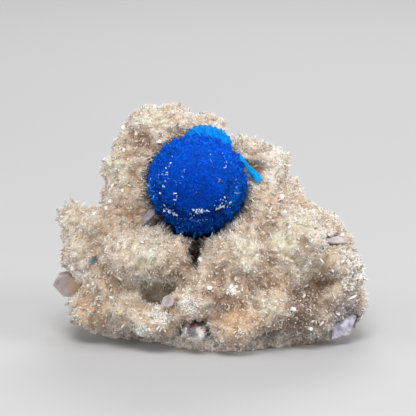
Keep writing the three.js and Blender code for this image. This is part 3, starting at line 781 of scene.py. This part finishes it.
# Single crystals that catch the light: right and above in the display view, then length, width
# and lean in it, in degrees clockwise from upright.
BRIGHT = [
    (21.4, -6.9, 0.9, 0.4, 120),
    (21.3, -8.6, 0.8, 0.5, 10),
    (18.1, -6.8, 0.9, 0.6, 20),
    (17.9, -8.0, 1.3, 0.3, 130),
    (15.5, -9.3, 0.6, 0.4, 0),
    (15.4, -12.5, 0.9, 0.4, 30),
    (15.2, -14.3, 0.8, 0.5, 0),
    (13.4, -16.2, 1.0, 0.7, 120),
    (22.6, -14.6, 1.8, 0.35, 52),
    (20.6, -16.9, 0.7, 0.3, 120),
    (18.1, -18.5, 0.7, 0.4, 10),
    (16.3, -19.2, 0.7, 0.6, 100),
    (-21.8, -15.0, 1.3, 0.35, 92),
    (-15.6, -14.2, 0.9, 0.5, 110),
    (-17.5, -15.5, 0.6, 0.5, 60),
    (-14.2, -11.0, 1.0, 0.55, 110),
    (-18.3, -12.2, 0.8, 0.5, 40),
    (-19.2, -12.5, 0.6, 0.5, 80),
    (-16.3, -6.7, 1.2, 0.3, 40),
    (-13.4, -6.1, 0.7, 0.3, 170),
    (-23.7, -7.5, 0.9, 0.7, -80),
    (-13.4, 12.5, 1.0, 0.7, -20),
    (3.5, -12.8, 0.9, 0.6, 20),
    (4.0, -13.6, 1.0, 0.6, -10),
    (4.2, -12.7, 0.7, 0.5, 50),
    (0.0, -12.8, 0.9, 0.7, 70),
    (1.4, -10.4, 0.7, 0.5, 0),
    (-11.4, 11.8, 0.8, 0.6, 30),
    (-8.1, 10.6, 0.9, 0.6, 70),
    (-17.1, 7.2, 0.8, 0.6, -40),
    (-13.4, 9.1, 0.7, 0.5, 20),
    (-8.6, 15.9, 0.8, 0.6, 0),
    (-15.7, 1.0, 0.8, 0.6, 60),
    (-16.2, -0.2, 0.7, 0.6, 20),
    (-18.2, -1.1, 0.9, 0.7, 100),
    (-20.3, 0.3, 1.4, 0.35, 55),
    (-10.4, -2.6, 0.8, 0.3, 70),
    (-1.2, -8.2, 0.9, 0.7, 130),
    (-13.7, 2.6, 0.7, 0.5, 0),
    (11.7, 1.6, 0.9, 0.8, 0),
    (12.1, -1.0, 0.9, 0.6, 60),
    (13.9, -1.7, 0.9, 0.5, 160),
    (16.6, -0.7, 0.8, 0.6, 30),
    (16.3, -5.3, 0.8, 0.7, 0),
    (21.2, -4.4, 0.8, 0.5, 60),
    (21.2, -1.2, 0.8, 0.7, 40),
    (10.5, 9.2, 0.6, 0.5, 0),
    (9.5, 10.9, 0.8, 0.6, 0),
    (12.6, 6.7, 0.9, 0.4, 60),
    (10.2, -4.6, 1.0, 0.25, 3),
    (9.9, -0.6, 1.3, 0.2, 20),
    (13.0, -3.2, 0.8, 0.4, 30),
    (10.4, -6.7, 0.9, 0.25, 90),
    (10.4, -2.2, 0.5, 0.3, 0),
    (17.8, -1.5, 0.6, 0.4, 0),
    (17.0, 1.0, 0.7, 0.5, 40),
]
# Clusters of white crystals: right and above in the display view, then radius.
CLUSTERS = [
    (3.8, -13.3, 0.8),
    (-6.9, -17.4, 1.2),
    (-10.4, -19.5, 1.0),
    (-8.2, -16.8, 1.0),
    (-2.9, -15.4, 1.3),
    (4.8, -20.0, 0.8),
    (23.8, -9.4, 1.9),
    (22.4, -12.0, 1.3),
]
CLUSTER_DENSITY = 38  # crystals in a cluster of 1 mm radius
CLUSTER_CRYSTAL = (0.24, 0.12, 0.8)


def make_bright_crystals():
    random = np.random.default_rng(71)
    surface = tree_of_meshes(CRUST_BED.data, *(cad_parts[name].data for name in PLATES))
    places = [(across, up) for across, up, *_ in BRIGHT]
    root, normal, hit = seen(surface, places)
    length, width, lean = (np.array([row[i] for row in BRIGHT])[hit] for i in (2, 3, 4))
    turn = np.radians(lean)[:, None]
    flat = VIEW_RIGHT * np.sin(turn) + VIEW_UP * np.cos(turn)
    along = unit(flat + 0.5 * normal)
    mirror = mirroring(root)
    along = unit(along - mirror * np.sum(along * mirror, axis=1)[:, None])
    sizes = np.stack([width, 0.4 * width, length], axis=1)
    foot = root + normal * 0.12 - along * 0.25 * sizes[:, 2:]
    # Painted highlight: the singles are tinted white, and turned to throw the key light into the display
    # view.
    white = np.tile(WHITE, (len(root), 1))
    singles = crystals("stilbite_bright_singles", BLADE, foot, along, sizes, mirror, white, white)
    dressed(singles, GLOSSY, "stilbite")
    spots = []
    for across, up, radius in CLUSTERS:
        count = round(CLUSTER_DENSITY * radius**2)
        away = radius * np.sqrt(random.random(count))
        angle = random.uniform(0, 2 * math.pi, count)
        spots += list(zip(across + away * np.cos(angle), up + away * np.sin(angle)))
    root, normal, _ = seen(surface, spots)
    count = len(root)
    along = unit(normal + 0.9 * any_directions(count, random))
    sizes = np.array(CLUSTER_CRYSTAL) * np.exp(random.normal(0, SIZE_SPREAD, (count, 3)))
    foot = root - along * 0.45 * sizes[:, 2:]
    white = np.clip(WHITE * np.exp(random.normal(0, 0.05, (count, 1))), 0, 1)
    turn = unit(mirroring(root) + 0.4 * any_directions(count, random))
    clusters = crystals("stilbite_bright_clusters", BLADE, foot, along, sizes, turn, white * 0.9, white)
    dressed(clusters, GLOSSY, "stilbite")


make_bright_crystals()

# ---- The cavansite ----

BLUE = srgb(0, 70, 198)
NAVY = srgb(0, 38, 126)
AZURE = srgb(0, 146, 255)
PALE_AZURE = srgb(0, 176, 255)
TEAL = srgb(20, 150, 190)
GLINT = srgb(232, 243, 255)
LIGHT_BLUE = srgb(96, 150, 235)
OCHRE = srgb(140, 128, 40)
BALL_FACING = unit(np.array([-0.04, -0.91, 0.41]))
# The dome's edge and the rims, in degrees from the facing direction.
DOME_EDGE = 46.0
RIMS = (47.0, 69.0, 90.0, 112.0)
DOME_BLADE = (0.30, 0.18, 0.5)
RIM_BLADE = (0.34, 0.16, 0.7)
SPARK = (0.25, 0.15, 0.5)
SPARK_SUNK = 0.25
SPARK_SCATTER = 0.2

# Arcs of sparkling tips: three places of the display view, how many, and their tint. GLINT and
# LIGHT_BLUE tips are painted highlights, AZURE ones paler blue tips that are partly painted highlight,
# OCHRE ones brown specks.
SPARKLES = [
    ((-6.9, 0.1), (-5.9, -0.6), (-5.0, -1.05), 22, GLINT),
    ((-3.0, -0.8), (-1.6, -0.5), (-0.2, -0.3), 30, GLINT),
    ((1.0, 0.3), (2.2, 0.3), (3.7, 0.6), 26, GLINT),
    ((1.3, 1.4), (2.1, 1.1), (3.0, 1.8), 6, GLINT),
    ((-5.4, 8.3), (-6.6, 5.4), (-7.7, 2.4), 15, GLINT),
    ((-5.3, 2.9), (-5.3, 1.8), (-4.8, 0.6), 6, GLINT),
    ((-8.8, 5.0), (-9.4, 4.0), (-9.6, 2.9), 7, GLINT),
    ((2.5, 8.9), (2.9, 7.4), (2.4, 6.1), 8, GLINT),
    ((-5.1, -1.7), (-2.2, -2.1), (0.0, -1.8), 22, LIGHT_BLUE),
    ((-6.4, 6.4), (-4.6, 1.4), (-3.8, 6.3), 14, LIGHT_BLUE),
    ((-0.1, 8.5), (1.1, 7.0), (0.5, 3.6), 12, LIGHT_BLUE),
    ((-5.3, -3.2), (-4.6, -3.6), (-3.8, -3.8), 16, AZURE),
    ((-2.2, -3.9), (-0.6, -4.0), (1.0, -3.6), 22, AZURE),
    ((6.1, 5.4), (6.6, 4.2), (6.0, 2.9), 10, AZURE),
    ((3.9, 4.4), (4.8, 3.2), (4.2, 1.7), 14, LIGHT_BLUE),
    ((1.0, -3.9), (1.6, -3.7), (2.2, -3.3), 6, AZURE),
    ((-9.3, 3.6), (-8.8, 1.6), (-7.5, -0.4), 22, AZURE),
    ((-7.0, 6.2), (-8.4, 4.8), (-8.7, 2.4), 12, LIGHT_BLUE),
    ((-6.6, -1.2), (-4.6, -2.6), (-2.4, -2.9), 14, AZURE),
    ((2.0, -1.0), (4.4, -0.6), (5.9, 1.6), 14, AZURE),
    ((-1.9, 2.8), (-1.8, 2.6), (-1.8, 2.4), 3, OCHRE),
    ((1.2, 4.5), (1.8, 4.4), (2.5, 4.3), 6, OCHRE),
]


def make_ball():
    random = np.random.default_rng(23)
    core = remeshed("cavansite_core", "cavansite_ball", 0.18, 1)
    points, triangles = corners_of(core.data)
    reach = np.stack([np.linalg.norm(points - at, axis=1) / r for at, r in ROSETTES], axis=1)
    nearest = np.argmin(np.abs(reach - 1), axis=1)
    centres = np.array([at for at, _ in ROSETTES])[nearest]
    radial = unit(points - centres)
    angle = np.degrees(np.arccos(np.clip(radial @ BALL_FACING, -1, 1)))
    angle = np.where(nearest == 0, angle, 90.0)
    dome = smoothstep(DOME_EDGE, DOME_EDGE - 6, angle + 3 * noise(points, 2.0, 12))
    smooth = softened(core, 50)
    hollow = np.sum((smooth - points) * radial, axis=1)
    grain = 0.10 * noise(points, 0.6, 3) + 0.16 * np.abs(noise(points, 1.2, 4)) - 0.2
    points = mixed(points, smooth, 0.9 * dome) + radial * grain[:, None]
    move_vertices(core, points)
    smooth_faces(core.data)
    normals = vertex_normals(points, triangles)
    cloud = 0.5 * noise(points, 2.2, 9) + 0.3 * noise(points, 0.9, 10)
    # Painted shade: navy toward the bottom and in hollows off the dome, and a dark belt below the lower
    # rims.
    level = smoothstep(-0.6, 0.9, cloud + 1.1 * radial[:, 2] - 0.9 * hollow)
    tint = mixed(NAVY, BLUE, np.maximum(level, 0.85 * dome))
    tint = mixed(tint, NAVY * 0.35, smoothstep(0.1, 0.6, hollow) * (1 - dome))
    belt = sum(np.exp(-(((angle - at - 7) / 4.0) ** 2)) for at in RIMS[1:]) * (nearest == 0)
    tint = mixed(tint, NAVY * 0.4, 0.7 * np.clip(belt, 0, 1) * smoothstep(0.3, -0.5, radial[:, 2]))
    right = smoothstep(0.35, 0.8, radial[:, 0]) * smoothstep(0.5, 0.0, np.abs(radial[:, 2] + 0.05))
    tint = mixed(tint, AZURE, 0.35 * right * smoothstep(-0.3, 0.5, noise(points, 1.1, 11)))
    paint(core.data, "tint", 0.8 * tint)
    dressed(core, CAVANSITE, "cavansite", "cavansite_ball")
    rim = sum(np.exp(-(((angle - at) / 3.0) ** 2)) for at in RIMS) * (nearest == 0)

    def blades(name, count, weights, size, stand, tilt, differ):
        """Blades on the core, standing out of it by stand, longer at the rims."""
        corners, shares = spread(points, triangles, weights, count, random)
        root = taken(points, corners, shares)
        outward = taken(radial, corners, shares) + 0.3 * taken(normals, corners, shares)
        along = unit(outward + tilt * any_directions(count, random))
        on_rim = taken(rim, corners, shares)[:, None]
        grown = np.exp(random.normal(0, 0.22, (count, 1))) * (1 + 0.35 * on_rim)
        sizes = np.array(size) * grown
        base = taken(tint, corners, shares) * np.exp(random.normal(0, differ, (count, 1)))
        azure = np.where(random.random(count) < 0.06, 0.8, 0.25 * random.random(count))
        tip = mixed(base, AZURE, azure)
        sunk = np.maximum(sizes[:, 2:] - stand * grown, 0)
        turn = random.uniform(0, 2 * math.pi, count)
        base, tip = np.clip(base, 0, 1), np.clip(tip, 0, 1)
        piece = crystals(name, CHISEL, root - along * sunk, along, sizes, turn, base, tip)
        dressed(piece, CAVANSITE, "cavansite")

    blades("cavansite_dome_blades", 7000, dome + 0.001, DOME_BLADE, 0.09, 0.25, 0.2)
    blades("cavansite_blades", 9500, 1.001 - dome, RIM_BLADE, 0.18, 0.35, 0.36)

    surface = tree_of_meshes(core.data)
    places, tints = [], []
    for start, middle, end, count, colour in SPARKLES:
        t = (np.arange(count) + random.random(count))[:, None] / count
        curve = (1 - t) ** 2 * start + 2 * t * (1 - t) * np.array(middle) + t**2 * end
        places += (curve + random.normal(0, SPARK_SCATTER, (count, 2))).tolist()
        tints += [colour] * count
    root, normal, hit = seen(surface, places)
    count = len(root)
    along = unit(normal + 0.6 * any_directions(count, random))
    sizes = np.array(SPARK) * np.exp(random.normal(0, 0.3, (count, 1)))
    turn = random.uniform(0, 2 * math.pi, count)
    # The tints from the arcs: the white and light blue ones are painted highlights.
    tints = np.array(tints)[hit]
    bluer = (tints[:, 0] > 0.5) & (random.random(count) < 0.25)
    tints[bluer] = mixed(tints, LIGHT_BLUE, random.random(count))[bluer]
    foot = root - along * SPARK_SUNK
    sparks = crystals("cavansite_sparkles", CHISEL, foot, along, sizes, turn, tints, tints)
    dressed(sparks, SPARKLE, "cavansite")


make_ball()


def make_azure(
    name,
    node,
    seed,
    origin=None,
    count=0,
    size=(0.26, 0.12, 1.0),
    out=0.16,
    colour=AZURE,
    tilt=0.25,
    drawn_in=0.05,
):
    """One of the azure crystals, with blades that radiate from a point of it, given as in the source.

    Without a point the blades lie along its longest direction, away from its middle.
    """
    random = np.random.default_rng(seed)
    core = remeshed(name + "_core", node, 0.12, 1)
    points, triangles = corners_of(core.data)
    normals = vertex_normals(points, triangles)
    points = points + normals * (0.07 * noise(points, 0.5, seed) - drawn_in)[:, None]
    move_vertices(core, points)
    smooth_faces(core.data)
    tint = mixed(colour * 0.75, colour, smoothstep(-0.5, 0.5, noise(points, 0.7, seed + 1)))
    paint(core.data, "tint", tint)
    dressed(core, AZURE_BLADES, "pale_cavansite", node)
    if not count:
        return
    corners, shares = spread(points, triangles, np.ones(len(points)), count, random)
    root = taken(points, corners, shares)
    if origin is None:
        middle = points.mean(axis=0)
        longest = np.linalg.svd(points - middle, full_matrices=False)[2][0]
        along = longest * np.sign((root - middle) @ longest)[:, None]
    else:
        along = unit(root - (np.array(origin) + SHIFT))
    along = unit(along + tilt * any_directions(count, random))
    sizes = np.array(size) * np.exp(random.normal(0, 0.25, (count, 1)))
    foot = root - along * (sizes[:, 2:] - out)
    base = np.clip(taken(tint, corners, shares) * np.exp(random.normal(0, 0.18, (count, 1))), 0, 1)
    tip = mixed(base, PALE_AZURE, 0.5 * random.random(count))
    clear = gaps_to(tree_of_nodes("cavansite_ball"), foot + along * sizes[:, 2:], 1.0) > 0.05
    turn = random.uniform(0, 2 * math.pi, count)
    parts = (array[clear] for array in (foot, along, sizes, turn, base, tip))
    dressed(crystals(name + "_blades", CHISEL, *parts), AZURE_BLADES, "pale_cavansite")


make_azure("cavansite_fan", "cavansite_fan", 41, (-1.25, -1.4, 30.7), 1600)
make_azure(
    "cavansite_sheaf",
    "cavansite_sheaf",
    42,
    count=200,
    size=(0.12, 0.06, 0.8),
    out=0.04,
    colour=PALE_AZURE,
    tilt=0.1,
    drawn_in=0.1,
)
make_azure("cavansite_speck_left", "cavansite_fleck_left", 43, colour=TEAL)
make_azure("cavansite_speck_right", "cavansite_fleck_right", 44, colour=TEAL)

# ---- The basalt ----

BASALT = srgb(84, 74, 70)
# Where crystals grow over the rock, lighter than the crust: partly painted light against the shade low
# on the rock.
GRANULAR = srgb(250, 232, 216)
GREY = srgb(62, 58, 66)
RED = srgb(124, 34, 28)
CHALK = srgb(228, 226, 224)
INK = srgb(50, 54, 88)
UMBER = srgb(74, 54, 46)
RUST = srgb(156, 104, 76)
SLATE = srgb(150, 150, 172)

# Bare places on the display side of the rock, as in PATCHES, with the share of crystals left there.
ROCK_PATCHES = [
    ((-2.6, -11.0, 5.6), 1.9, GREY, 0.95, 0.0),
    ((-2.0, -12.9, 2.9), 1.4, CHALK, 0.9, 0.3),
    ((-3.6, -12.6, 4.2), 1.2, INK, 0.8, 0.1),
    ((-3.5, -12.0, 5.0), 0.55, RED, 1.0, 0.0),
    ((-4.4, -12.0, 1.4), 1.4, INK, 0.7, 0.3),
    ((4.4, -10.8, 1.0), 1.3, INK, 0.8, 0.2),
    ((8.6, -9.3, 2.4), 2.4, UMBER, 0.8, 0.4),
    ((-7.6, -9.3, 1.5), 1.6, UMBER, 0.8, 0.4),
    ((14.5, -6.8, 1.2), 2.8, RUST, 0.7, 0.7),
    ((18.0, -5.6, 0.9), 2.0, SLATE, 0.6, 0.5),
    ((5.7, -9.5, 1.7), 1.4, UMBER, 0.5, 0.5),
]
OVERGROWN_TO = 3.0  # farther back, the rock shows between sparse crystals
ROCK_FACE = 0.4


def make_rock():
    random = np.random.default_rng(57)
    stone = remeshed("basalt_rock", "basalt_matrix", ROCK_FACE, 1)
    points, triangles = corners_of(stone.data)
    normals = vertex_normals(points, triangles)
    chip = 0.28 * noise(points, 1.3, 51) + 0.2 * noise(points, 3.5, 52)
    points = points + normals * chip[:, None]
    points[:, 2] = np.maximum(points[:, 2], 0.0)
    move_vertices(stone, points)
    smooth_faces(stone.data)
    bare = mixed(BASALT, UMBER, smoothstep(0.1, 0.6, noise(points, 3.0, 53)))
    bare = mixed(bare, CHALK * 0.8, smoothstep(0.45, 0.7, noise(points, 1.6, 54)))
    back = smoothstep(OVERGROWN_TO - 3, OVERGROWN_TO + 3, points[:, 1] + 2 * noise(points, 4.0, 55))
    grown = mixed(GRANULAR, UMBER, 0.35 * smoothstep(0.1, 0.7, noise(points, 1.2, 56)))
    tint = mixed(grown, bare, back)
    weights = 1.0 - 0.75 * back
    blur = points + 0.5 * np.stack([noise(points, 1.0, seed) for seed in (58, 59, 60)], axis=1)
    for at, size, colour, share, left in ROCK_PATCHES:
        inside = smoothstep(1.2, 0.6, np.linalg.norm(blur - (np.array(at) + SHIFT), axis=1) / size)
        tint = mixed(tint, colour, share * inside)
        weights *= 1 - (1 - left) * inside
    paint(stone.data, "tint", tint)
    dressed(stone, ROCK, "basalt", "basalt_matrix")
    hidden = gaps_to(tree_of_nodes("stilbite_crust"), points, 1.0)
    weights *= smoothstep(0.3, 0.6, hidden) * (points[:, 2] > 0.1)
    others = tree_of_nodes(*PLATES)
    ground = Ground(stone.data, normals, tint, weights + 1e-6, others, random)
    ground.cover(
        "rock_fuzz", NEEDLE, 9000, (0.26, 0.2, 0.5), 0.22, 0.7, 0.16, STILBITE, CREAM_TIP, 0.5
    )
    ground.cover(
        "rock_chisels", CHISEL, 2600, (0.36, 0.18, 0.7), 0.3, 0.9, 0.16, STILBITE, CREAM_TIP, 0.4
    )
    # White-tipped crystals: painted highlights on the rock.
    ground.cover("rock_glints", BLADE, 220, (0.3, 0.14, 0.9), 0.45, 1.4, 0.05, STILBITE, WHITE, 0.9)


make_rock()

PLATE_FINISHES = {
    "stilbite_plate_left": PLATE_LEFT,
    "stilbite_plate_bright": PLATE_WHITE,
    "stilbite_plate_low_right": PLATE_BLUISH,
    "stilbite_plate_by_ball": PLATE_LAVENDER,
}
for name in PLATES:
    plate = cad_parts[name]
    plate.data.materials.clear()
    plate.data.materials.append(PLATE_FINISHES.get(name, PLATE))

# ---- The room, in metres: floor, light and camera ----

FLOOR_HALF = 3.0
FLOOR_GREY = (0.52, 0.52, 0.53, 1)
LIT_POINT = (0, 0, 0.018)
LENS_ANGLE = 9.07  # degrees


def make_floor():
    half = FLOOR_HALF
    mesh = bpy.data.meshes.new("floor")
    corners = [(-half, -half, 0), (half, -half, 0), (half, half, 0), (-half, half, 0)]
    mesh.from_pydata(corners, [], [(0, 1, 2, 3)])
    floor = linked("floor", mesh)
    pale = material("floor_paper", lambda tree, shader: None)
    shader = pale.node_tree.nodes["Principled BSDF"]
    shader.inputs["Base Color"].default_value = FLOOR_GREY
    shader.inputs["Roughness"].default_value = 0.8
    mesh.materials.append(pale)


def make_light(name, at, size, power):
    """A soft lamp of that size and power in watts, aimed at the specimen."""
    lamp = bpy.data.lights.new(name, "AREA")
    lamp.shape = "RECTANGLE"
    lamp.size, lamp.size_y = size
    lamp.energy = power
    piece = bpy.data.objects.new(name, lamp)
    bpy.context.scene.collection.objects.link(piece)
    piece.location = at
    aim = Vector(LIT_POINT) - Vector(at)
    piece.rotation_euler = aim.to_track_quat("-Z", "Y").to_euler()


def make_camera():
    lens = bpy.data.cameras.new("camera")
    lens.angle = math.radians(LENS_ANGLE)
    lens.clip_start = 0.01
    camera = bpy.data.objects.new("camera", lens)
    bpy.context.scene.collection.objects.link(camera)
    camera.location = EYE * MM
    camera.rotation_euler = Vector(-VIEW_BACK).to_track_quat("-Z", "Y").to_euler()
    bpy.context.scene.camera = camera


make_floor()
make_light("key", KEY_AT, (0.24, 0.2), 1.32)
make_light("front", (0.03, -0.62, 0.13), (0.3, 0.2), 0.65)
make_light("right", (0.42, -0.18, 0.24), (0.2, 0.2), 1.1)
make_light("left", (-0.42, -0.12, 0.16), (0.2, 0.2), 0.6)
make_light("back", (0.05, 0.4, 0.34), (0.3, 0.15), 1.1)
make_camera()

world = bpy.data.worlds.new("room")
world.use_nodes = True
sky = world.node_tree.nodes["Background"]
sky.inputs["Color"].default_value = (1.0, 0.99, 0.97, 1)
sky.inputs["Strength"].default_value = 0.34
bpy.context.scene.world = world
bpy.context.scene.view_settings.view_transform = "Standard"
